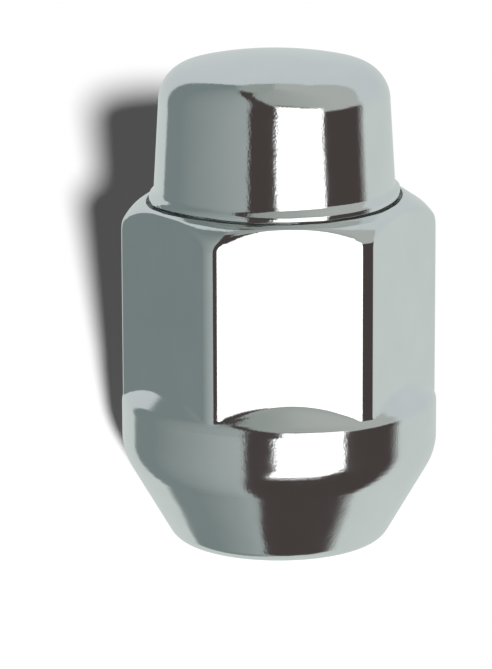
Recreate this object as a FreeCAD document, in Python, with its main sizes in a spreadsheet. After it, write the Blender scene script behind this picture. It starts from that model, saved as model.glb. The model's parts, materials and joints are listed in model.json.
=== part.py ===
import FreeCAD, Part
import math
import os
import Sketcher

# Lug nut with a closed end: a hexagon on a round bulge with a conical seat, and a hollow domed cap
# welded on its top face. Millimetres. Z is the nut's axis, the base is at Z = 0 and a flat faces -Y.

V = FreeCAD.Vector
doc = FreeCAD.newDocument("lug_nut")

# Driving dimensions: name, value
SIZES = [
    # hexagon
    ("across_flats", 19.05),
    ("corner_radius", 1.0),
    ("hex_start_height", 8.4),
    ("nut_height", 24.3),
    # rounded shoulder at the top of the hexagon
    ("shoulder_radius", 9.55),
    ("shoulder_angle", 47.0),
    ("shoulder_side_room", 0.1515),
    ("shoulder_top_round", 0.85),
    ("shoulder_side_round", 2.0),
    # conical seat, bulge and the flare up to the flats
    ("seat_half_angle", 30.0),
    ("seat_end_radius", 7.25),
    ("seat_end_round", 1.55),
    ("bulge_radius", 11.0),
    ("bulge_round", 0.7),
    ("bulge_top_height", 10.0),
    ("flare_angle", 37.0),
    ("neck_radius", 8.6),
    # M12 x 1.5 bore at its minor diameter, with a countersink at each end
    ("thread_diameter", 12.0),
    ("thread_pitch", 1.5),
    ("mouth_radius", 6.05),
    ("top_mouth_radius", 5.7),
    ("countersink_angle", 45.0),
    # drawn cap
    ("cap_height", 10.1),
    ("cap_wall", 1.2),
    ("cap_foot_radius", 8.36),
    ("cap_shoulder_radius", 8.0),
    ("cap_shoulder_round", 2.65),
    ("crown_radius", 26.0),
    ("rim_radius", 8.7),
    ("rim_thickness", 0.25),
    ("rim_gap", 0.1),
    ("rim_seat_radius", 8.45),
    ("rim_flare_height", 0.35),
    ("cap_offset", 0.3),
]

# Sizes that follow from the driving ones: name, formula
DERIVED = [
    ("corner_distance", "across_flats / sqrt(3)"),
    # the turned shoulder runs out just beyond the hexagon's sharp corners
    ("shoulder_side_radius", "corner_distance + shoulder_side_room"),
    ("hex_length", "nut_height - hex_start_height"),
    ("clear_radius", "shoulder_side_radius + shoulder_side_round"),
    ("clear_height", "nut_height + shoulder_side_round"),
    ("shoulder_land_start", "shoulder_radius - shoulder_top_round"),
    ("shoulder_side_height",
     "nut_height - (shoulder_side_radius - shoulder_radius) * tan(shoulder_angle * 1deg)"),
    ("shoulder_low_height", "shoulder_side_height - shoulder_side_round"),
    ("seat_height", "(bulge_radius - seat_end_radius) / tan(seat_half_angle * 1deg)"),
    ("neck_height", "bulge_top_height + (bulge_radius - neck_radius) / tan(flare_angle * 1deg)"),
    # minor radius of an ISO metric thread: nominal less 5/8 of the sharp profile height on each side
    ("bore_radius", "thread_diameter / 2 - 5 / 8 * sqrt(3) / 2 * thread_pitch"),
    ("mouth_depth", "(mouth_radius - bore_radius) / tan(countersink_angle * 1deg)"),
    ("top_mouth_start", "nut_height - (top_mouth_radius - bore_radius) / tan(countersink_angle * 1deg)"),
    ("rim_top", "rim_gap + rim_thickness"),
    ("flare_top", "rim_top + rim_flare_height"),
    ("inner_height", "cap_height - cap_wall"),
    ("inner_foot_radius", "cap_foot_radius - cap_wall"),
    ("inner_wall_radius", "cap_shoulder_radius - cap_wall"),
    ("inner_wall_top", "inner_height - cap_shoulder_round"),
    ("inner_top_radius", "inner_wall_radius - cap_shoulder_round"),
]

sheet = doc.addObject("Spreadsheet::Sheet", "dimensions")
for row, (name, value) in enumerate(SIZES + DERIVED, start=1):
    is_formula = isinstance(value, str)
    sheet.set("A%d" % row, name)
    sheet.set("B%d" % row, "=" + value if is_formula else str(value))
    sheet.setAlias("B%d" % row, name)
doc.recompute()

ORIGIN = (-1, 1)
AXIS_ACROSS = -1
AXIS_UP = -2
FULL_TURN = 360.0
NEAR = 0.001


def size(name):
    """One spreadsheet value as a plain number; None stands for zero."""
    return 0.0 if name is None else float(sheet.get(name))


def add_sketch(body, name, role):
    """A sketch laid flat on one of its body's own origin planes."""
    sketch = body.newObject("Sketcher::SketchObject", name)
    base = next(item for item in body.Origin.OriginFeatures if item.Role == role)
    sketch.AttachmentSupport = [(base, "")]
    sketch.MapMode = "FlatFace"
    return sketch


def fix(sketch, kind, where, cell):
    """A constraint whose value is bound to a spreadsheet cell."""
    index = sketch.addConstraint(Sketcher.Constraint(kind, *where, size(cell)))
    name = "%s_%d" % (cell, index)
    sketch.renameConstraint(index, name)
    sketch.setExpression("Constraints." + name, "<<dimensions>>." + cell)


def place(sketch, curve, end, across, up):
    """Puts a curve's end at two spreadsheet values; None is on the axis."""
    if across is None and up is None:
        sketch.addConstraint(Sketcher.Constraint("Coincident", curve, end, *ORIGIN))
        return
    if across is None:
        sketch.addConstraint(Sketcher.Constraint("PointOnObject", curve, end, AXIS_UP))
    else:
        fix(sketch, "DistanceX", (*ORIGIN, curve, end), across)
    if up is None:
        sketch.addConstraint(Sketcher.Constraint("PointOnObject", curve, end, AXIS_ACROSS))
    else:
        fix(sketch, "DistanceY", (*ORIGIN, curve, end), up)


def join(sketch, first, second):
    """The first curve's end meets the second's start."""
    sketch.addConstraint(Sketcher.Constraint("Coincident", first, 2, second, 1))


def arc_between(before, corner, after, radius):
    """Centre and tangent points of the arc that rounds a corner."""
    back = (before - corner).normalize()
    ahead = (after - corner).normalize()
    half = back.getAngle(ahead) / 2
    reach = radius / math.tan(half)
    centre = corner + (back + ahead).normalize() * (radius / math.sin(half))
    return centre, corner + back * reach, corner + ahead * reach


def draw_profile(sketch, corners):
    """A closed outline of straight lines. A corner is (across, up) or (across, up, round)."""
    points = [V(size(c[0]), size(c[1]), 0) for c in corners]
    count = len(corners)
    guides = []
    for i in range(count):
        line = Part.LineSegment(points[i], points[(i + 1) % count])
        guides.append(sketch.addGeometry(line, True))
    for i in range(count):
        join(sketch, guides[i], guides[(i + 1) % count])
        place(sketch, guides[i], 1, corners[i][0], corners[i][1])
    starts = list(points)
    ends = list(points)
    arcs = {}
    for i, corner in enumerate(corners):
        if len(corner) < 3:
            continue
        before, after = points[i - 1], points[(i + 1) % count]
        centre, ends[i], starts[i] = arc_between(before, points[i], after, size(corner[2]))
        to_start = math.atan2(ends[i].y - centre.y, ends[i].x - centre.x)
        to_end = math.atan2(starts[i].y - centre.y, starts[i].x - centre.x)
        turns_left = (points[i] - before).cross(after - points[i]).z > 0
        circle = Part.Circle(centre, V(0, 0, 1), size(corner[2]))
        if turns_left:
            arcs[i] = (Part.ArcOfCircle(circle, to_start, to_end), 1, 2)
        else:
            arcs[i] = (Part.ArcOfCircle(circle, to_end, to_start), 2, 1)
    lines = []
    for i in range(count):
        lines.append(sketch.addGeometry(Part.LineSegment(starts[i], ends[(i + 1) % count]), False))
    for i in range(count):
        before, here = lines[i - 1], lines[i]
        if i not in arcs:
            sketch.addConstraint(Sketcher.Constraint("Coincident", before, 2, guides[i], 1))
            sketch.addConstraint(Sketcher.Constraint("Coincident", here, 1, guides[i], 1))
            continue
        shape, arc_in, arc_out = arcs[i]
        arc = sketch.addGeometry(shape, False)
        sketch.addConstraint(Sketcher.Constraint("PointOnObject", before, 2, guides[i - 1]))
        sketch.addConstraint(Sketcher.Constraint("PointOnObject", here, 1, guides[i]))
        sketch.addConstraint(Sketcher.Constraint("Tangent", before, 2, arc, arc_in))
        sketch.addConstraint(Sketcher.Constraint("Tangent", here, 1, arc, arc_out))
        fix(sketch, "Radius", (arc,), corners[i][2])


def turn(body, kind, name, sketch):
    """A full turn of a sketch about its upright axis, added or cut."""
    feature = body.newObject(kind, name)
    feature.Profile = sketch
    feature.ReferenceAxis = (sketch, ["V_Axis"])
    feature.Angle = FULL_TURN
    body.Tip = feature
    doc.recompute()
    return feature


def round_edges(body, name, chosen, cell):
    """Rounds the chosen edges of the body's tip."""
    tip = body.Tip
    edges = []
    for i, edge in enumerate(tip.Shape.Edges, start=1):
        if any(edge.isSame(other) for other in chosen):
            edges.append("Edge%d" % i)
    feature = body.newObject("PartDesign::Fillet", name)
    feature.Base = (tip, edges)
    feature.setExpression("Radius", "<<dimensions>>." + cell)
    body.Tip = feature
    doc.recompute()
    return feature


def is_upright(edge):
    """Whether an edge is straight and parallel to the nut's axis."""
    if edge.Degenerated or not isinstance(edge.Curve, Part.Line):
        return False
    return abs(edge.Curve.Direction.z) > 1 - NEAR


# Nut: the hexagon and its rounded corners, the turned base, the shoulder, then the bore
nut = doc.addObject("PartDesign::Body", "nut_body")
nut.Label = "nut_body"

hexagon = add_sketch(nut, "hexagon", "XY_Plane")
hexagon.setExpression(".AttachmentOffset.Base.z", "<<dimensions>>.hex_start_height")
SIDES = 6
guide = hexagon.addGeometry(Part.Circle(V(), V(0, 0, 1), size("corner_distance")), True)
hexagon.addConstraint(Sketcher.Constraint("Coincident", guide, 3, *ORIGIN))
fix(hexagon, "Radius", (guide,), "corner_distance")
corner_points = []
for i in range(SIDES):
    angle = math.radians(FULL_TURN * i / SIDES)
    corner_points.append(V(math.cos(angle), math.sin(angle), 0) * size("corner_distance"))
sides = []
for i in range(SIDES):
    side = Part.LineSegment(corner_points[i], corner_points[(i + 1) % SIDES])
    sides.append(hexagon.addGeometry(side, False))
for i in range(SIDES):
    join(hexagon, sides[i], sides[(i + 1) % SIDES])
    hexagon.addConstraint(Sketcher.Constraint("PointOnObject", sides[i], 1, guide))
for i in range(1, SIDES):
    hexagon.addConstraint(Sketcher.Constraint("Equal", sides[0], sides[i]))
hexagon.addConstraint(Sketcher.Constraint("Horizontal", sides[1]))

prism = nut.newObject("PartDesign::Pad", "hexagon_prism")
prism.Profile = hexagon
prism.setExpression("Length", "<<dimensions>>.hex_length")
nut.Tip = prism
doc.recompute()

round_edges(nut, "corner_rounds", [e for e in prism.Shape.Edges if is_upright(e)], "corner_radius")

turned = add_sketch(nut, "seat_and_bulge", "XZ_Plane")
draw_profile(turned, [
    (None, None),
    ("seat_end_radius", None, "seat_end_round"),
    ("bulge_radius", "seat_height", "bulge_round"),
    ("bulge_radius", "bulge_top_height"),
    ("neck_radius", "neck_height"),
    (None, "neck_height"),
])
turn(nut, "PartDesign::Revolution", "turned_base", turned)

shoulder = add_sketch(nut, "shoulder", "XZ_Plane")
draw_profile(shoulder, [
    ("shoulder_land_start", "nut_height"),
    ("shoulder_radius", "nut_height", "shoulder_top_round"),
    ("shoulder_side_radius", "shoulder_side_height", "shoulder_side_round"),
    ("shoulder_side_radius", "shoulder_low_height"),
    ("clear_radius", "shoulder_low_height"),
    ("clear_radius", "clear_height"),
    ("shoulder_land_start", "clear_height"),
])
before_shoulder = nut.Shape.Volume
turn(nut, "PartDesign::Groove", "shoulder_cut", shoulder)
assert nut.Shape.Volume < before_shoulder

bore = add_sketch(nut, "bore", "XZ_Plane")
draw_profile(bore, [
    (None, None),
    ("mouth_radius", None),
    ("bore_radius", "mouth_depth"),
    ("bore_radius", "top_mouth_start"),
    ("top_mouth_radius", "nut_height"),
    (None, "nut_height"),
])
before_bore = nut.Shape.Volume
turn(nut, "PartDesign::Groove", "bore_cut", bore)
assert nut.Shape.Volume < before_bore

# Cap: drawn on its own foot plane, then seated on the nut's top face
cap = doc.addObject("PartDesign::Body", "end_cap")
cap.Label = "end_cap"
cap.setExpression("Placement.Base.x", "-<<dimensions>>.cap_offset")
cap.setExpression("Placement.Base.z", "<<dimensions>>.nut_height")

outside = add_sketch(cap, "cap_outside", "XZ_Plane")
crown_middle = V(0, size("cap_height") - size("crown_radius"), 0)
bend_across = size("cap_shoulder_radius") - size("cap_shoulder_round")
bend_reach = size("crown_radius") - size("cap_shoulder_round")
bend_middle = V(bend_across, crown_middle.y + math.sqrt(bend_reach ** 2 - bend_across ** 2), 0)
meet_angle = math.atan2(bend_middle.y - crown_middle.y, bend_across)
cap_corners = [
    (None, None),
    ("rim_seat_radius", None),
    ("rim_seat_radius", "rim_gap"),
    ("rim_radius", "rim_gap"),
    ("rim_radius", "rim_top"),
    ("cap_foot_radius", "flare_top"),
]
cap_points = [V(size(across), size(up), 0) for across, up in cap_corners]
cap_points.append(V(size("cap_shoulder_radius"), bend_middle.y, 0))
cap_lines = []
for i, (across, up) in enumerate(cap_corners):
    cap_lines.append(outside.addGeometry(Part.LineSegment(cap_points[i], cap_points[i + 1]), False))
    place(outside, cap_lines[i], 1, across, up)
    if i > 0:
        outside.addConstraint(Sketcher.Constraint("Coincident", cap_lines[i - 1], 2, cap_lines[i], 1))
wall = cap_lines[-1]
bend_circle = Part.Circle(bend_middle, V(0, 0, 1), size("cap_shoulder_round"))
crown_circle = Part.Circle(crown_middle, V(0, 0, 1), size("crown_radius"))
bend = outside.addGeometry(Part.ArcOfCircle(bend_circle, 0, meet_angle), False)
crown = outside.addGeometry(Part.ArcOfCircle(crown_circle, meet_angle, math.pi / 2), False)
axis_line = outside.addGeometry(Part.LineSegment(V(0, size("cap_height"), 0), V()), False)
outside.addConstraint(Sketcher.Constraint("Tangent", wall, 2, bend, 1))
outside.addConstraint(Sketcher.Constraint("Tangent", bend, 2, crown, 1))
outside.addConstraint(Sketcher.Constraint("Coincident", crown, 2, axis_line, 1))
outside.addConstraint(Sketcher.Constraint("Coincident", axis_line, 2, cap_lines[0], 1))
outside.addConstraint(Sketcher.Constraint("PointOnObject", crown, 3, AXIS_UP))
place(outside, axis_line, 1, None, "cap_height")
fix(outside, "DistanceX", (*ORIGIN, wall, 2), "cap_shoulder_radius")
fix(outside, "Radius", (bend,), "cap_shoulder_round")
fix(outside, "Radius", (crown,), "crown_radius")
turn(cap, "PartDesign::Revolution", "cap_form", outside)

inside = add_sketch(cap, "cap_inside", "XZ_Plane")
draw_profile(inside, [
    (None, None),
    ("inner_foot_radius", None),
    ("inner_wall_radius", "inner_wall_top"),
    ("inner_top_radius", "inner_height"),
    (None, "inner_height"),
])
before_hollow = cap.Shape.Volume
turn(cap, "PartDesign::Groove", "cap_hollow", inside)
assert cap.Shape.Volume < before_hollow

doc.recompute()
for item in doc.Objects:
    assert not {"Invalid", "Error"} & set(item.State), item.Name
os.makedirs("parts", exist_ok=True)
for body in (nut, cap):
    assert not body.Shape.isNull(), body.Label
    assert body.Shape.isValid(), body.Label
    assert len(body.Shape.Solids) == 1, body.Label
    body.Shape.exportStep("parts/%s.step" % body.Label)
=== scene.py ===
import json
import math

import bmesh
import bpy
import numpy as np
from mathutils import Matrix, Vector

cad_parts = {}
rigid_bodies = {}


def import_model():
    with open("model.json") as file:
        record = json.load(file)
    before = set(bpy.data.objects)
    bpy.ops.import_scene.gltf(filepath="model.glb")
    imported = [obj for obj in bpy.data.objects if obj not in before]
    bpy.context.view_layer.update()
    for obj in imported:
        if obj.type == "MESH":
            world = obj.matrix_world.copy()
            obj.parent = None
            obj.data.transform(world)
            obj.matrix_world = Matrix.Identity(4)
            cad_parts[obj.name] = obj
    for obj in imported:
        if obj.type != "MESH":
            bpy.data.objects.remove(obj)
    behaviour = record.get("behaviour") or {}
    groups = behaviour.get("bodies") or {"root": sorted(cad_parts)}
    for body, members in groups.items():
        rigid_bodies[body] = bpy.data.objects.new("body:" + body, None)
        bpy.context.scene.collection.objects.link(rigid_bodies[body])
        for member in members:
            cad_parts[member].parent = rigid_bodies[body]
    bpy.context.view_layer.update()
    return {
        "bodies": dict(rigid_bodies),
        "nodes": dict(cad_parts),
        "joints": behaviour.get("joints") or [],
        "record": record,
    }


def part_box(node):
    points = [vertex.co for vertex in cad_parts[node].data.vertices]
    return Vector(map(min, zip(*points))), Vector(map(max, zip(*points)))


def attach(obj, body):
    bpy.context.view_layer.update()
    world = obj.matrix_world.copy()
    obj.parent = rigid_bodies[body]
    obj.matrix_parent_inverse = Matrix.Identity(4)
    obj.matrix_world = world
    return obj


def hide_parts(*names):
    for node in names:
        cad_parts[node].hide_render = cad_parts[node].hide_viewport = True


# Lug nut with a closed end: chromed nut and cap skins with a cut thread, on a pale floor in a studio.
# The frame is in metres; profiles and sizes here are in millimetres, and MM turns them into metres.

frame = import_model()

MM = 0.001
nut_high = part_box("nut_body")[1] / MM
cap_low, cap_high = (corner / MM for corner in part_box("end_cap"))

# Sizes read from the frame
NUT_HEIGHT = nut_high.z
BULGE_RADIUS = nut_high.y
CAP_HEIGHT = cap_high.z - cap_low.z
CAP_MIDDLE = (cap_low.x + cap_high.x) / 2
RIM_RADIUS = (cap_high.x - cap_low.x) / 2

# Hexagon, shoulder, seat and bulge
ACROSS_FLATS = 19.05
CORNER_DISTANCE = 10.95
CORNER_BLEND = 0.12
FRONT_CORNER_EASE = 0.27
LEFT_FRONT_CORNER = -2 * math.pi / 3
LEFT_FRONT_FALL = 8
LEFT_FRONT_BLEND = 0.07
LEFT_FRONT_FULLER = 0.087
SHOULDER_BEND_RADIUS = 10.1
SHOULDER_BEND_HEIGHT = 23.76
SHOULDER_BEND_ROUND = 3.0
SHOULDER_SIDE_RADIUS = 11.15
SHOULDER_SIDE_HEIGHT = 22.55
SHOULDER_SIDE_ROUND = 1.9
SHOULDER_SIDE_LENGTH = 4 * SHOULDER_SIDE_ROUND
SHOULDER_BLEND = 0.3
SEAT_HALF_ANGLE = math.radians(30.0)
SEAT_END_RADIUS = 7.25
SEAT_END_ROUND = 1.55
BULGE_ROUND = 4.0
BULGE_TOP_HEIGHT = 10.28
BULGE_TOP_ROUND = 1.0
FLARE_ANGLE = math.radians(46.0)
FLARE_TOP_HEIGHT = 13.4
FLARE_BLEND = 0.24
LEAST_BLEND = 0.01

# M12 x 1.5 thread
THREAD_PITCH = 1.5
THREAD_MAJOR_RADIUS = 6.0
THREAD_MINOR_RADIUS = 5.188
THREAD_RUN_OUT = 1.0
THREAD_CREST = 0.25
THREAD_ROOT = 0.125
MOUTH_RADIUS = 6.05
TOP_MOUTH_RADIUS = 5.7

# Cap
CAP_WALL = 1.2
CAP_FOOT_RADIUS = 8.36
CAP_SHOULDER_RADIUS = 8.0
CAP_SHOULDER_ROUND = 2.65
HOLLOW_ROUND = 0.6
CROWN_RADIUS = 26.0
RIM_THICKNESS = 0.34
RIM_GAP = 0.15
RIM_SEAT_RADIUS = 8.45
RIM_EDGE_ROUND = 0.07
RIM_TOP_ROUND = 0.25
FLANGE_HEIGHT = 0.82
FLANGE_ROUND = 0.45

# Rows counted outwards from the inner edge of the cap's underside: the first don't follow the seam,
# and the first few are unplated steel darkened as painted shade in the seam's crevice
LEVEL_ROWS = 2
CREVICE_SHADE_ROWS = 3

# Seam between cap and nut: it climbs to the right, and the nut's top rises to a lip round the rim.
# Each wave has a share, a number of waves round the nut, and a shift or a change with height.
SEAM_LEAN = 0.28
SEAM_TILT = 0.2
SEAM_LEAN_POWER = 5
SEAM_WAVER = 0.02
SEAM_WAVES = ((1, 5, 1), (0.6, 11, 0), (0.5, 23, 2))
SEAM_LEAN_HEIGHT = 1.5
SEAM_LEAN_REACH = 0.8
SEAM_OPENING = 0.07
OPENING_WAVER = 0.02
OPENING_WAVES = 7
GROOVE_RADIUS = 8.42
GROOVE_DEPTH = 0.4
LIP_RADIUS = 8.86
LIP_RISE = 0.1
LIP_ROUND = 0.1
BURR_ANGLE = math.radians(200)
BURR_SPREAD = math.radians(13)
BURR_DEPTH = 0.07
BURR_HEIGHT = 0.4
BURR_HEIGHT_SPREAD = 0.28
BURR_WAVES = ((0.3, 47, 9), (0.2, 31, -17))

# Mesh steps and counts
ARC_STEP = math.radians(5.0)
LEAST_ARC_STEPS = 3
GUARD = 0.04
WELD = 0.00001
SHARP_ANGLE = math.radians(38)
LAND_STEP = 1.0
SHOULDER_STEP = 0.1
FLAT_STEP = 0.4
BASE_STEP = 0.13
CAP_FOOT_STEP = 0.12
CAP_COLUMNS = 216
BEND_ROWS = 40
CROWN_ROWS = 16

# Material numbers within a piece
CHROME_FACE = 0
STEEL_FACE = 1
# The crevice number marks faces darkened as painted shade in the seam
CREVICE_SHADE_FACE = 2


def rounded(points):
    """A profile of (across, up) points; a third value rounds that corner with an arc.

    A guard point beside each arc keeps the straight stretches straight under smooth shading.
    """
    out = []
    for i, item in enumerate(points):
        corner = np.array(item[:2], float)
        if len(item) < 3:
            out.append(corner)
            continue
        before = np.array(points[i - 1][:2], float) - corner
        after = np.array(points[i + 1][:2], float) - corner
        before /= np.linalg.norm(before)
        after /= np.linalg.norm(after)
        half = math.acos(before @ after) / 2
        reach = item[2] / math.tan(half)
        middle = (before + after) / np.linalg.norm(before + after)
        centre = corner + middle * item[2] / math.sin(half)
        start = corner + before * reach - centre
        side = math.copysign(1, before[1] * after[0] - before[0] * after[1])
        sweep = side * (math.pi - 2 * half)
        steps = max(LEAST_ARC_STEPS, math.ceil(abs(sweep) / ARC_STEP))
        out.append(corner + before * (reach + GUARD))
        for angle in np.linspace(0, sweep, steps + 1):
            c, s = math.cos(angle), math.sin(angle)
            out.append(centre + np.array([start[0] * c - start[1] * s, start[0] * s + start[1] * c]))
        out.append(corner + after * (reach + GUARD))
    return np.array(out)


def divided(profile, longest):
    """Adds points to a profile so that no step is longer than a length."""
    out = [profile[0]]
    for a, b in zip(profile[:-1], profile[1:]):
        steps = max(1, math.ceil(np.linalg.norm(b - a) / longest))
        out += [a + (b - a) * k / steps for k in range(1, steps + 1)]
    return np.array(out)


def ring(theta, radius, z, middle=0.0):
    """One ring of points; radius and z are numbers or one value per column."""
    across = np.broadcast_to(radius, theta.shape)
    return np.stack([
        across * np.cos(theta) + middle,
        across * np.sin(theta),
        np.broadcast_to(z, theta.shape),
    ], -1)


def quads(rows, columns, first=0, lead=0):
    """Faces between rings of points. A lead joins the last column to the first one that many rows on."""
    faces = []
    for i in range(rows - 1):
        for j in range(columns):
            here = first + i * columns + j
            turn = j == columns - 1
            beside = first + (i + lead) * columns if turn else here + 1
            if turn and i + lead + 1 >= rows:
                continue
            faces.append((here, beside, beside + columns, here + columns))
    return faces


def make_piece(name, rings, faces, materials, finish, node):
    """A smooth mesh piece that stands for a CAD node; finish holds each face's material number."""
    mesh = bpy.data.meshes.new(name)
    mesh.from_pydata((np.concatenate(rings) * MM).tolist(), [], faces)
    for material in materials:
        mesh.materials.append(material)
    mesh.polygons.foreach_set("material_index", np.asarray(finish, np.int32))
    work = bmesh.new()
    work.from_mesh(mesh)
    bmesh.ops.remove_doubles(work, verts=work.verts, dist=WELD * MM)
    bmesh.ops.dissolve_degenerate(work, edges=work.edges, dist=WELD * MM)
    loose = [v for v in work.verts if not v.link_faces]
    bmesh.ops.delete(work, geom=loose, context="VERTS")
    bmesh.ops.recalc_face_normals(work, faces=work.faces)
    work.to_mesh(mesh)
    work.free()
    mesh.polygons.foreach_set("use_smooth", np.ones(len(mesh.polygons), bool))
    mesh.set_sharp_from_angle(angle=SHARP_ANGLE)
    piece = bpy.data.objects.new(name, mesh)
    bpy.context.scene.collection.objects.link(piece)
    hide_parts(node)
    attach(piece, "root")
    return piece


# Hexagon columns, closer together over its eased corners
SIXTH = math.pi / 3
FLAT_COLUMNS = 20
CORNER_COLUMNS = 20
CORNER_SPAN = math.radians(5.0)
FLAT_DISTANCE = ACROSS_FLATS / 2


def hexagon_columns():
    """Column angles round the axis; the first flat faces -Y."""
    flat_end = SIXTH / 2 - CORNER_SPAN
    flat = np.linspace(-flat_end, flat_end, FLAT_COLUMNS)
    corner = np.linspace(flat_end, SIXTH - flat_end, CORNER_COLUMNS + 2)[1:-1]
    sector = np.concatenate([flat, corner])
    return np.concatenate([sector + k * SIXTH - math.pi / 2 for k in range(6)])


def soft_min(a, b, width):
    """The smaller of two values, rounded where they cross."""
    h = np.clip(0.5 + 0.5 * (b - a) / width, 0, 1)
    return b + (a - b) * h - width * h * (1 - h)


def hexagon_radius(theta):
    """Distance from the axis to the hexagon, whose corners are small facets with rounded edges.

    The two front corners are eased more than the others, the left one less so and rounder.
    """
    from_flat = (theta + math.pi / 2 + SIXTH / 2) % SIXTH - SIXTH / 2
    from_corner = SIXTH / 2 - np.abs(from_flat)
    left_front = np.maximum(np.cos(theta - LEFT_FRONT_CORNER), 0) ** LEFT_FRONT_FALL
    facet = CORNER_DISTANCE - FRONT_CORNER_EASE * np.maximum(-np.sin(theta), 0)
    facet += LEFT_FRONT_FULLER * left_front
    blend = CORNER_BLEND + LEFT_FRONT_BLEND * left_front
    return soft_min(FLAT_DISTANCE / np.cos(from_flat), facet / np.cos(from_corner), blend)


def seam_lift(theta):
    """How far the seam stands off its level round the nut."""
    lean = SEAM_LEAN * np.cos(theta) ** SEAM_LEAN_POWER
    waver = sum(share * np.sin(waves * theta + shift) for share, waves, shift in SEAM_WAVES)
    return lean + SEAM_TILT * np.sin(theta) + SEAM_WAVER * waver


def shoulder_rings(theta, hexagon):
    """The top face, the groove and lip of the seam, and the turned shoulder, blended into the hexagon.

    It also gives the number of rings inside the lip, which are unplated and get the crevice's painted
    shade.
    """
    land = [(TOP_MOUTH_RADIUS, NUT_HEIGHT), (GROOVE_RADIUS, NUT_HEIGHT)]
    turned = rounded([
        (GROOVE_RADIUS, NUT_HEIGHT - GROOVE_DEPTH),
        (LIP_RADIUS, NUT_HEIGHT - GROOVE_DEPTH),
        (LIP_RADIUS, NUT_HEIGHT + LIP_RISE, LIP_ROUND),
        (SHOULDER_BEND_RADIUS, SHOULDER_BEND_HEIGHT, SHOULDER_BEND_ROUND),
        (SHOULDER_SIDE_RADIUS, SHOULDER_SIDE_HEIGHT, SHOULDER_SIDE_ROUND),
        (SHOULDER_SIDE_RADIUS + SHOULDER_BLEND, SHOULDER_SIDE_HEIGHT - SHOULDER_SIDE_LENGTH),
    ])
    rings = [ring(theta, r, z) for r, z in divided(np.array(land), LAND_STEP)]
    inside_lip = len(rings)
    curved = divided(turned[:-1], SHOULDER_STEP)
    straight = divided(turned[-2:], FLAT_STEP)[1:]
    for r, z in np.concatenate([curved, straight]):
        near_seam = np.clip((LIP_RADIUS + SEAM_LEAN_REACH - r) / SEAM_LEAN_REACH, 0, 1)
        height = z + near_seam * seam_lift(theta)
        rings.append(ring(theta, soft_min(r, hexagon, SHOULDER_BLEND), height, CAP_MIDDLE * near_seam))
        inside_lip += r < LIP_RADIUS
    return rings, inside_lip


def base_rings(theta, hexagon):
    """The flare below the flats, the bulge, the conical seat and its rounded end."""
    seat_height = (BULGE_RADIUS - SEAT_END_RADIUS) / math.tan(SEAT_HALF_ANGLE)
    flare_start = BULGE_RADIUS - (FLARE_TOP_HEIGHT - BULGE_TOP_HEIGHT) * math.tan(FLARE_ANGLE)
    profile = rounded([
        (flare_start, FLARE_TOP_HEIGHT),
        (BULGE_RADIUS, BULGE_TOP_HEIGHT, BULGE_TOP_ROUND),
        (BULGE_RADIUS, seat_height, BULGE_ROUND),
        (SEAT_END_RADIUS, 0.0, SEAT_END_ROUND),
        (MOUTH_RADIUS, 0.0),
    ])
    rings = []
    for r, z in divided(profile, BASE_STEP):
        width = FLARE_BLEND * np.clip((z - BULGE_TOP_HEIGHT) / BULGE_TOP_ROUND, LEAST_BLEND, 1)
        rings.append(ring(theta, -soft_min(-r, -hexagon, width) if z > BULGE_TOP_HEIGHT else r, z))
    return rings


def thread_rings(theta):
    """Rows that climb one pitch a turn, so that each row runs along one line of the thread.

    It also gives the number of rows in a turn. Crest, flanks and root are shares of the pitch.
    """
    flank = (1 - THREAD_CREST - THREAD_ROOT) / 2
    root_start = THREAD_CREST + flank
    phases = [0, THREAD_CREST / 2, THREAD_CREST, THREAD_CREST + flank / 2,
              root_start, root_start + THREAD_ROOT, 1 - flank / 2]
    depths = [0, 0, 0, 0.5, 1, 1, 0.5]
    turns = math.ceil(NUT_HEIGHT / THREAD_PITCH) + 1
    climb = THREAD_PITCH * (theta - theta[0]) / (2 * math.pi)
    rings = []
    for k in range(turns):
        for phase, depth in zip(phases, depths):
            z = np.clip((k - 1 + phase) * THREAD_PITCH + climb, 0, NUT_HEIGHT)
            fade = np.clip((NUT_HEIGHT - z) / THREAD_RUN_OUT, 0, 1)
            cut = THREAD_MINOR_RADIUS + (THREAD_MAJOR_RADIUS - THREAD_MINOR_RADIUS) * depth * fade
            cone = np.maximum(MOUTH_RADIUS - z, TOP_MOUTH_RADIUS - (NUT_HEIGHT - z))
            rings.append(ring(theta, np.maximum(cut, cone), z))
    rings.append(ring(theta, TOP_MOUTH_RADIUS, NUT_HEIGHT))
    return rings, len(phases)


def build_nut(chrome, steel, crevice_shade):
    """The nut's chromed outside and its threaded bore, in one mesh; the plating stops at the lip, and
    inside it the top face is unplated steel darkened as painted shade.
    """
    theta = hexagon_columns()
    hexagon = hexagon_radius(theta)
    top, inside_lip = shoulder_rings(theta, hexagon)
    outside = top + base_rings(theta, hexagon)
    bore, lead = thread_rings(theta)
    faces = quads(len(outside), len(theta))
    crevice_shade_end = inside_lip * len(theta)
    # Faces inside the lip get the crevice metal: painted shade in the seam's gap
    finish = [CREVICE_SHADE_FACE if face[0] < crevice_shade_end else CHROME_FACE for face in faces]
    faces += quads(len(bore), len(theta), first=len(outside) * len(theta), lead=lead)
    finish += [STEEL_FACE] * (len(faces) - len(finish))
    return make_piece("nut_skin", outside + bore, faces, (chrome, steel, crevice_shade), finish, "nut_body")


def burr(theta, z):
    """A rough swelling of the flange at the left front."""
    turn = (theta - BURR_ANGLE + math.pi) % (2 * math.pi) - math.pi
    around = np.exp(-(turn / BURR_SPREAD) ** 2)
    upright = np.exp(-((z - BURR_HEIGHT) / BURR_HEIGHT_SPREAD) ** 2)
    rough = 1 + sum(share * np.sin(waves * theta + rise * z) for share, waves, rise in BURR_WAVES)
    return BURR_DEPTH * around * upright * rough


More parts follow.
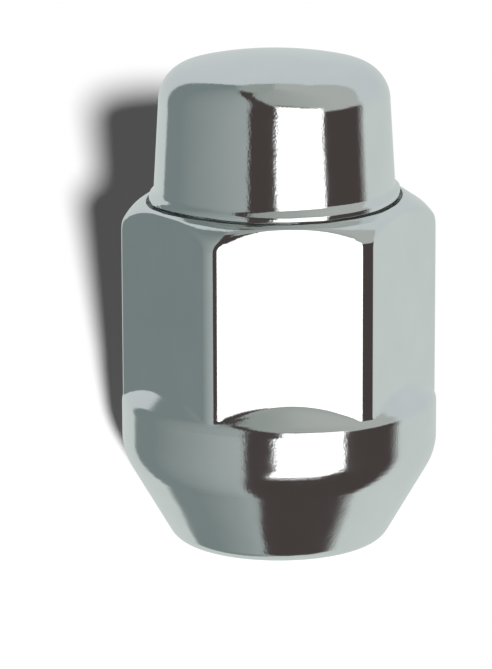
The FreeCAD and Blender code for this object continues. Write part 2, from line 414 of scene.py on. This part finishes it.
def build_cap(chrome, steel, crevice_shade):
    """The drawn cap: rim, flare, wall, bend and crown outside, and a plain hollow inside."""
    theta = np.linspace(0, 2 * math.pi, CAP_COLUMNS, endpoint=False)
    crown_low = CAP_HEIGHT - CROWN_RADIUS
    bend_across = CAP_SHOULDER_RADIUS - CAP_SHOULDER_ROUND
    bend_up = crown_low + math.sqrt((CROWN_RADIUS - CAP_SHOULDER_ROUND) ** 2 - bend_across ** 2)
    meet = math.atan2(bend_up - crown_low, bend_across)
    rim_top = RIM_GAP + RIM_THICKNESS
    foot = rounded([
        (CAP_FOOT_RADIUS - CAP_WALL, 0.0),
        (RIM_SEAT_RADIUS, 0.0),
        (RIM_SEAT_RADIUS, RIM_GAP),
        (RIM_RADIUS, RIM_GAP, RIM_EDGE_ROUND),
        (RIM_RADIUS, rim_top, RIM_TOP_ROUND),
        (CAP_FOOT_RADIUS, FLANGE_HEIGHT, FLANGE_ROUND),
        (CAP_SHOULDER_RADIUS, bend_up),
    ])
    outside = [(r, z) for r, z in divided(foot[:-1], CAP_FOOT_STEP) if z < FLANGE_HEIGHT]
    outside += [(r, z) for r, z in foot[:-1] if z >= FLANGE_HEIGHT]
    for angle in np.linspace(0, meet, BEND_ROWS):
        outside.append((bend_across + CAP_SHOULDER_ROUND * math.cos(angle),
                        bend_up + CAP_SHOULDER_ROUND * math.sin(angle)))
    for angle in np.linspace(meet, math.pi / 2, CROWN_ROWS)[1:]:
        outside.append((CROWN_RADIUS * math.cos(angle),
                        crown_low + CROWN_RADIUS * math.sin(angle)))
    hollow_top = CAP_HEIGHT - CAP_WALL
    hollow_radius = CAP_SHOULDER_RADIUS - CAP_WALL
    inside = rounded([
        (0.0, hollow_top),
        (hollow_radius - CAP_SHOULDER_ROUND, hollow_top, HOLLOW_ROUND),
        (hollow_radius, hollow_top - CAP_SHOULDER_ROUND, HOLLOW_ROUND),
        (CAP_FOOT_RADIUS - CAP_WALL, 0.0),
    ])
    rings = [ring(theta, r, NUT_HEIGHT + z, CAP_MIDDLE) for r, z in outside[:LEVEL_ROWS]]
    for r, z in outside[LEVEL_ROWS:]:
        near_seam = np.clip(1 - (z - rim_top) / SEAM_LEAN_HEIGHT, 0, 1) ** 2
        opening = -SEAM_OPENING * np.cos(theta) + OPENING_WAVER * np.sin(OPENING_WAVES * theta)
        lift = near_seam * seam_lift(theta) + opening * np.clip((rim_top - z) / RIM_THICKNESS, 0, 1)
        rings.append(ring(theta, r + burr(theta, z), NUT_HEIGHT + z + lift, CAP_MIDDLE))
    rings += [ring(theta, r, NUT_HEIGHT + z, CAP_MIDDLE) for r, z in inside]
    faces = quads(len(rings), len(theta))
    row = np.array([face[0] // len(theta) for face in faces])
    # The first rows of the cap's underside get the crevice metal, darkened as painted shade in the seam
    outer = np.where(row < CREVICE_SHADE_ROWS, CREVICE_SHADE_FACE, CHROME_FACE)
    finish = np.where(row >= len(outside) - 1, STEEL_FACE, outer)
    return make_piece("cap_skin", rings, faces, (chrome, steel, crevice_shade), finish, "end_cap")


def noise(nodes, links, coordinates, scale, detail):
    """A noise texture; scale is in features per metre."""
    texture = nodes.new("ShaderNodeTexNoise")
    texture.inputs["Scale"].default_value = scale
    texture.inputs["Detail"].default_value = detail
    links.new(coordinates.outputs["Object"], texture.inputs["Vector"])
    return texture.outputs["Fac"]


def bump(nodes, links, height, depth, below=None, strength=None):
    """A bump of a depth in metres, over another one if given, and weaker where strength says so."""
    node = nodes.new("ShaderNodeBump")
    node.inputs["Distance"].default_value = depth
    links.new(height, node.inputs["Height"])
    if below is not None:
        links.new(below, node.inputs["Normal"])
    if strength is not None:
        links.new(strength, node.inputs["Strength"])
    return node.outputs["Normal"]


def map_range(nodes, links, value, source, target, kind="LINEAR"):
    """A value taken from one range to another and held at the ends."""
    node = nodes.new("ShaderNodeMapRange")
    node.interpolation_type = kind
    node.inputs["From Min"].default_value = source[0]
    node.inputs["From Max"].default_value = source[1]
    node.inputs["To Min"].default_value = target[0]
    node.inputs["To Max"].default_value = target[1]
    links.new(value, node.inputs["Value"])
    return node.outputs["Result"]


def combine(nodes, links, operation, first, second):
    """Two values put together by a Math node."""
    node = nodes.new("ShaderNodeMath")
    node.operation = operation
    links.new(first, node.inputs[0])
    links.new(second, node.inputs[1])
    return node.outputs[0]


# Finish: noise scales are in features per metre, heights and depths in metres
TONE_SCALE = 260.0
GLOSS_SCALE = 900.0
RIPPLE_SCALE = 330.0
NOISE_MIDDLE = (0.3, 0.7)
BASE_FINISH = (12.5 * MM, 10.5 * MM)
BASE_ROUGHER = (0.0, 0.03)
CAP_FINISH = (23.0 * MM, 24.4 * MM)
FLAT_BUMP_SHARE = 0.2
TONE_DETAIL = 4.0
GLOSS_DETAIL = 4.0
RIPPLE_DETAIL = 1.0
GRAIN_DETAIL = 2.0
CHROME_DARK = (0.80, 0.825, 0.815)
CHROME_LIGHT = (0.84, 0.86, 0.85)
CHROME_ROUGHNESS = (0.05, 0.09)
CHROME_RIPPLE_DEPTH = 0.00003
CHROME_GRAIN_SCALE = 6500.0
CHROME_GRAIN_DEPTH = 0.0000048
STEEL_DARK = (0.30, 0.30, 0.29)
STEEL_LIGHT = (0.55, 0.55, 0.53)
STEEL_ROUGHNESS = (0.28, 0.4)
STEEL_GRAIN_SCALE = 3800.0
# The crevice metal is unplated steel made darker than the thread steel: painted shade in the seam's gap
CREVICE_SHADE_DARK = (0.2, 0.22, 0.215)
CREVICE_SHADE_LIGHT = (0.5, 0.53, 0.52)
CREVICE_ROUGHNESS = (0.45, 0.6)
CREVICE_GRAIN_SCALE = 5200.0
DULL_RIPPLE_DEPTH = 0.000025
DULL_GRAIN_DEPTH = 0.00001


def metal(name, dark, light, roughness, ripple_depth, grain_scale, grain_depth):
    """A metal whose tone and roughness drift a little, over a slow ripple and a fine grain.

    Below the hexagon it is a little rougher, and on the hexagon it has less ripple and grain.
    """
    material = bpy.data.materials.new(name)
    material.use_nodes = True
    nodes, links = material.node_tree.nodes, material.node_tree.links
    shader = nodes["Principled BSDF"]
    shader.inputs["Metallic"].default_value = 1.0
    coordinates = nodes.new("ShaderNodeTexCoord")
    split = nodes.new("ShaderNodeSeparateXYZ")
    links.new(coordinates.outputs["Object"], split.inputs[0])
    height = split.outputs["Z"]

    tone = nodes.new("ShaderNodeValToRGB")
    tone.color_ramp.elements[0].position = NOISE_MIDDLE[0]
    tone.color_ramp.elements[0].color = (*dark, 1)
    tone.color_ramp.elements[1].position = NOISE_MIDDLE[1]
    tone.color_ramp.elements[1].color = (*light, 1)
    links.new(noise(nodes, links, coordinates, TONE_SCALE, TONE_DETAIL), tone.inputs["Fac"])
    links.new(tone.outputs["Color"], shader.inputs["Base Color"])

    drift = noise(nodes, links, coordinates, GLOSS_SCALE, GLOSS_DETAIL)
    gloss = map_range(nodes, links, drift, NOISE_MIDDLE, roughness)
    base = map_range(nodes, links, height, BASE_FINISH, BASE_ROUGHER, "SMOOTHSTEP")
    links.new(combine(nodes, links, "ADD", gloss, base), shader.inputs["Roughness"])

    below = map_range(nodes, links, height, BASE_FINISH, (FLAT_BUMP_SHARE, 1.0), "SMOOTHSTEP")
    above = map_range(nodes, links, height, CAP_FINISH, (FLAT_BUMP_SHARE, 1.0), "SMOOTHSTEP")
    strength = combine(nodes, links, "MAXIMUM", below, above)
    slow = noise(nodes, links, coordinates, RIPPLE_SCALE, RIPPLE_DETAIL)
    ripple = bump(nodes, links, slow, ripple_depth, strength=strength)
    fine = noise(nodes, links, coordinates, grain_scale, GRAIN_DETAIL)
    links.new(bump(nodes, links, fine, grain_depth, ripple, strength), shader.inputs["Normal"])
    return material


chrome = metal("chrome", CHROME_DARK, CHROME_LIGHT, CHROME_ROUGHNESS,
               CHROME_RIPPLE_DEPTH, CHROME_GRAIN_SCALE, CHROME_GRAIN_DEPTH)
steel = metal("thread_steel", STEEL_DARK, STEEL_LIGHT, STEEL_ROUGHNESS,
              DULL_RIPPLE_DEPTH, STEEL_GRAIN_SCALE, DULL_GRAIN_DEPTH)
# Crevice metal: painted shade for the gap of the seam between cap and nut
crevice_shade = metal("crevice_shade", CREVICE_SHADE_DARK, CREVICE_SHADE_LIGHT, CREVICE_ROUGHNESS,
                DULL_RIPPLE_DEPTH, CREVICE_GRAIN_SCALE, DULL_GRAIN_DEPTH)
build_nut(chrome, steel, crevice_shade)
build_cap(chrome, steel, crevice_shade)

# Studio that the chrome mirrors. Angles are in degrees: azimuth from the camera's side, positive to the
# viewer's right, and elevation above the horizon. Colours are what the chrome shows on screen, 0 to 255.
CAMERA_AZIMUTH = -4.034
CAMERA_ELEVATION = 12.899
CHROME_MEAN = (0.82, 0.8425, 0.8325)
LIGHT_GREY = (187, 196, 193)
LIGHT_GREY_ABOVE = (184, 192, 193)
LIGHT_GREY_RISE = (-10, 20)
LEFT_FLAG_FAR = (114, 126, 125)
LEFT_FLAG_NEAR = (149, 158, 157)
LEFT_FLAG_NEAR_LOW = (157, 166, 165)
LEFT_FLAG_LOW = (-12, -7)
LEFT_FLAG_TONES = (-105, -25)
TOP_GREY_LEFT = (141, 149, 145)
TOP_GREY_RIGHT = (163, 168, 165)
TOP_GREY_TONES = (-30, 70)
FRONT_DARK = (66, 60, 59)
SOFTBOX_WHITE = 1.6
LEFT_FLAG = (-131, -25)
LEFT_FLAG_TOP = 70.5
TOP_GREY_START = 70
FRONT = (-25, 94)
FRONT_RIGHT_SOFT = 6.0
DARK_BEND_START = 20
DARK_BEND = 0.00047
DARK_BEND_POWER = 3.0
DARK_LEFT_EDGE = 2
DARK_LEFT_TOP = 29
DARK_LEFT_SLOPE = 1.1
DARK_ARC_TOP = 70
LOW_LEAN = (-75, -25)
LOW_LEAN_REACH = 13
DARK_RIGHT_TOP = 8
GREY_LEAN = (20, 62)
GREY_EDGE = (97, 128)
SOFTBOX_LEFT = (-9, 2.5)
SOFTBOX_LEFT_LEAN = (-25, -4)
SOFTBOX_RIGHT = 49
SOFTBOX_BOTTOM = (-29, -19)
SOFTBOX_BOTTOM_RISE = (28, 50)
SOFTBOX_TOP = (30, 18)
SOFTBOX_FRAME = (5.5, 2.0)
SOFTBOX_FRAME_TONE = (96, 97, 95)
EDGE = 2.0

# Colour sockets of a Mix node, which share their names with others and so go by number
MIX_FIRST = 6
MIX_SECOND = 7
MIX_RESULT = 2


def grey(level):
    """A grey of this linear level."""
    return (level, level, level, 1)


def on_screen(colour):
    """The light that the chrome mirrors as this screen colour, as linear values by the sRGB curve."""
    linear = []
    for value, base in zip(colour, CHROME_MEAN):
        share = value / 255
        straight = share / 12.92 if share <= 0.04045 else ((share + 0.055) / 1.055) ** 2.4
        linear.append(straight / base)
    return (*linear, 1)


class Graph:
    """Short calls for the world's node tree."""

    def __init__(self, tree):
        self.nodes = tree.nodes
        self.links = tree.links

    def feed(self, socket, value):
        """Links a node's output to a socket, or sets the socket to a number or colour."""
        if isinstance(value, bpy.types.NodeSocket):
            self.links.new(value, socket)
        else:
            socket.default_value = value

    def math(self, operation, *values):
        """The result of a Math node."""
        node = self.nodes.new("ShaderNodeMath")
        node.operation = operation
        for socket, value in zip(node.inputs, values):
            self.feed(socket, value)
        return node.outputs[0]

    def ramp(self, value, low, high, start=0.0, end=1.0, kind="SMOOTHSTEP"):
        """A value taken from one range to another, held at the ends."""
        node = self.nodes.new("ShaderNodeMapRange")
        node.interpolation_type = kind
        for name, item in zip(("Value", "From Min", "From Max", "To Min", "To Max"),
                              (value, low, high, start, end)):
            self.feed(node.inputs[name], item)
        return node.outputs["Result"]

    def step(self, value, edge, soft=EDGE):
        """0 below an edge and 1 above it, with a soft change."""
        if isinstance(edge, bpy.types.NodeSocket):
            return self.ramp(self.math("SUBTRACT", value, edge), -soft, soft)
        return self.ramp(value, edge - soft, edge + soft)

    def mix(self, share, first, second):
        """One colour at share 0, going over to another at share 1."""
        node = self.nodes.new("ShaderNodeMix")
        node.data_type = "RGBA"
        self.feed(node.inputs["Factor"], share)
        self.feed(node.inputs[MIX_FIRST], first)
        self.feed(node.inputs[MIX_SECOND], second)
        return node.outputs[MIX_RESULT]


def studio_colour(graph):
    """Light grey all round, a grey flag at the left, and a dark front with a softbox in it.

    The flag's near side is a little lighter well below the horizon.
    """
    coordinates = graph.nodes.new("ShaderNodeTexCoord")
    split = graph.nodes.new("ShaderNodeSeparateXYZ")
    graph.links.new(coordinates.outputs["Generated"], split.inputs[0])
    x, y, z = split.outputs
    azimuth = graph.math("DEGREES", graph.math("ARCTAN2", x, graph.math("MULTIPLY", y, -1.0)))
    azimuth = graph.math("WRAP", graph.math("SUBTRACT", azimuth, CAMERA_AZIMUTH), 180.0, -180.0)
    elevation = graph.math("DEGREES", graph.math("ARCSINE", z))

    # edges that lean with elevation: the flag's end, the dark arc's far side and the grey's end
    climb = graph.math("MAXIMUM", graph.math("SUBTRACT", elevation, DARK_BEND_START), 0.0)
    bend = graph.math("MULTIPLY", graph.math("POWER", climb, DARK_BEND_POWER), DARK_BEND)
    bend = graph.math("ADD", bend, graph.ramp(elevation, *LOW_LEAN, LOW_LEAN_REACH, 0.0, "LINEAR"))
    flag_end = graph.math("SUBTRACT", FRONT[0], bend)
    rise = graph.math("MAXIMUM", graph.math("SUBTRACT", elevation, DARK_LEFT_TOP), 0.0)
    arc_end = graph.math("SUBTRACT", DARK_LEFT_EDGE, graph.math("MULTIPLY", rise, DARK_LEFT_SLOPE))
    grey_end = graph.ramp(elevation, *GREY_LEAN, *GREY_EDGE, kind="LINEAR")

    past_flag = graph.step(azimuth, flag_end)
    colour = graph.mix(graph.ramp(elevation, *LIGHT_GREY_RISE),
                       on_screen(LIGHT_GREY), on_screen(LIGHT_GREY_ABOVE))
    front = graph.math("MULTIPLY", past_flag, graph.math("SUBTRACT", 1.0, graph.step(azimuth, grey_end)))
    overhead = graph.step(elevation, TOP_GREY_START)
    top_tone = graph.ramp(azimuth, *TOP_GREY_TONES, kind="LINEAR")
    top = graph.mix(top_tone, on_screen(TOP_GREY_LEFT), on_screen(TOP_GREY_RIGHT))
    colour = graph.mix(graph.math("MAXIMUM", front, overhead), colour, top)

    flag_tone = graph.ramp(azimuth, *LEFT_FLAG_TONES, kind="LINEAR")
    near = graph.mix(graph.ramp(elevation, *LEFT_FLAG_LOW),
                     on_screen(LEFT_FLAG_NEAR_LOW), on_screen(LEFT_FLAG_NEAR))
    flag = graph.mix(flag_tone, on_screen(LEFT_FLAG_FAR), near)
    flag_span = graph.math("SUBTRACT", graph.step(azimuth, LEFT_FLAG[0]), past_flag)
    under_flag_top = graph.math("SUBTRACT", 1.0, graph.step(elevation, LEFT_FLAG_TOP))
    colour = graph.mix(graph.math("MULTIPLY", flag_span, under_flag_top), colour, flag)

    under_arc_top = graph.math("SUBTRACT", 1.0, graph.step(elevation, DARK_ARC_TOP))
    arc = graph.math("MULTIPLY", graph.math("SUBTRACT", past_flag, graph.step(azimuth, arc_end)),
                     under_arc_top)
    low = graph.math("SUBTRACT", 1.0, graph.step(elevation, DARK_RIGHT_TOP))
    right_edge = graph.step(azimuth, FRONT[1], FRONT_RIGHT_SOFT)
    right = graph.math("MULTIPLY", graph.math("SUBTRACT", past_flag, right_edge), low)
    colour = graph.mix(graph.math("MAXIMUM", arc, right), colour, on_screen(FRONT_DARK))

    softbox_left = graph.ramp(elevation, *SOFTBOX_LEFT_LEAN, *SOFTBOX_LEFT, kind="LINEAR")
    softbox_bottom = graph.ramp(azimuth, *SOFTBOX_BOTTOM_RISE, *SOFTBOX_BOTTOM)
    softbox_top = graph.ramp(azimuth, SOFTBOX_LEFT[1], SOFTBOX_RIGHT, *SOFTBOX_TOP, kind="LINEAR")
    across = graph.math("SUBTRACT", graph.step(azimuth, softbox_left),
                        graph.step(azimuth, SOFTBOX_RIGHT))
    height = graph.math("SUBTRACT", graph.step(elevation, softbox_bottom),
                        graph.step(elevation, softbox_top))
    softbox = graph.math("MULTIPLY", across, height)
    frame = graph.ramp(azimuth, SOFTBOX_LEFT[1], SOFTBOX_RIGHT, *SOFTBOX_FRAME, kind="LINEAR")
    frame_top = graph.math("ADD", softbox_top, frame)
    over_line = graph.math("SUBTRACT", 1.0, graph.step(elevation, frame_top))
    over_line = graph.math("MULTIPLY", over_line, graph.step(elevation, 0.0))
    frame_share = graph.math("MULTIPLY", across, over_line)
    colour = graph.mix(frame_share, colour, on_screen(SOFTBOX_FRAME_TONE))
    return graph.mix(softbox, colour, grey(SOFTBOX_WHITE))


FLOOR_AMBIENT = 0.085
BACKDROP_WHITE = 1.0


def build_world():
    """The studio for mirrored rays, white for the camera and a low ambient for the floor."""
    world = bpy.data.worlds.new("studio")
    bpy.context.scene.world = world
    world.use_nodes = True
    world.cycles.sampling_method = "NONE"
    graph = Graph(world.node_tree)
    path = graph.nodes.new("ShaderNodeLightPath")
    background = graph.nodes["Background"]
    colour = graph.mix(path.outputs["Is Glossy Ray"], grey(FLOOR_AMBIENT), studio_colour(graph))
    colour = graph.mix(path.outputs["Is Camera Ray"], colour, grey(BACKDROP_WHITE))
    graph.links.new(colour, background.inputs["Color"])


FLOOR_SIZE = 3.0
FLOOR_DROP = 0.00001
FLOOR_COLOUR = (0.92, 0.92, 0.92, 1)


def build_floor():
    """A plain pale floor just under the nut, left out of its reflections."""
    mesh = bpy.data.meshes.new("floor")
    half = FLOOR_SIZE / 2
    corners = [(-half, -half), (half, -half), (half, half), (-half, half)]
    mesh.from_pydata([(x, y, -FLOOR_DROP) for x, y in corners], [], [(0, 1, 2, 3)])
    material = bpy.data.materials.new("floor")
    material.use_nodes = True
    shader = material.node_tree.nodes["Principled BSDF"]
    shader.inputs["Base Color"].default_value = FLOOR_COLOUR
    shader.inputs["Roughness"].default_value = 1.0
    shader.inputs["Specular IOR Level"].default_value = 0.0
    mesh.materials.append(material)
    floor = bpy.data.objects.new("floor", mesh)
    floor.visible_glossy = False
    bpy.context.scene.collection.objects.link(floor)
    return floor


KEY_AZIMUTH = CAMERA_AZIMUTH + 4.3
KEY_ELEVATION = 10.9
KEY_WIDTH = math.radians(1.7)
KEY_ON_FLOOR = 1.0


def toward(azimuth, elevation):
    """Unit vector from the nut towards an azimuth and elevation in degrees."""
    a, e = math.radians(azimuth), math.radians(elevation)
    return Vector((math.sin(a) * math.cos(e), -math.cos(a) * math.cos(e), math.sin(e)))


def build_key(floor):
    """A lamp from the camera's side that lights the floor alone, so that the nut shades it at the left."""
    lamp = bpy.data.lights.new("key", "SUN")
    lamp.energy = KEY_ON_FLOOR * math.pi / math.sin(math.radians(KEY_ELEVATION))
    lamp.angle = KEY_WIDTH
    key = bpy.data.objects.new("key", lamp)
    key.rotation_mode = "QUATERNION"
    key.rotation_quaternion = (-toward(KEY_AZIMUTH, KEY_ELEVATION)).to_track_quat("-Z", "Y")
    key.visible_glossy = False
    bpy.context.scene.collection.objects.link(key)
    lit = bpy.data.collections.new("lit_by_key")
    lit.objects.link(floor)
    key.light_linking.receiver_collection = lit


# Camera: the point on the axis at AIM_HEIGHT lands on AIM_PIXEL of the photograph's frame
IMAGE_WIDTH = 492
IMAGE_HEIGHT = 669
FOCAL_PIXELS = 4153.5
AIM_PIXEL = (279.0, 292.5)
AIM_HEIGHT = 0.0175
CAMERA_DISTANCE = 0.28926
CAMERA_ROLL = math.radians(-0.213)
SENSOR_WIDTH = 36.0


def build_camera():
    """The camera at the photograph's place, turned so that the aim point keeps its pixel."""
    data = bpy.data.cameras.new("camera")
    data.sensor_width = SENSOR_WIDTH
    data.lens = FOCAL_PIXELS * SENSOR_WIDTH / IMAGE_HEIGHT
    back = toward(CAMERA_AZIMUTH, CAMERA_ELEVATION)
    right = Vector((0, 0, 1)).cross(back).normalized()
    up = back.cross(right)
    across = (AIM_PIXEL[0] - IMAGE_WIDTH / 2) / FOCAL_PIXELS
    down = (AIM_PIXEL[1] - IMAGE_HEIGHT / 2) / FOCAL_PIXELS
    view = (-back - across * right + down * up).normalized()
    level = view.cross(Vector((0, 0, 1))).normalized()
    above = level.cross(view)
    c, s = math.cos(CAMERA_ROLL), math.sin(CAMERA_ROLL)
    axes = Matrix((level * c + above * s, above * c - level * s, -view)).transposed().to_4x4()
    camera = bpy.data.objects.new("camera", data)
    camera.matrix_world = Matrix.Translation(Vector((0, 0, AIM_HEIGHT)) + back * CAMERA_DISTANCE) @ axes
    bpy.context.scene.collection.objects.link(camera)
    bpy.context.scene.camera = camera


build_world()
build_key(build_floor())
build_camera()
bpy.context.scene.view_settings.view_transform = "Standard"
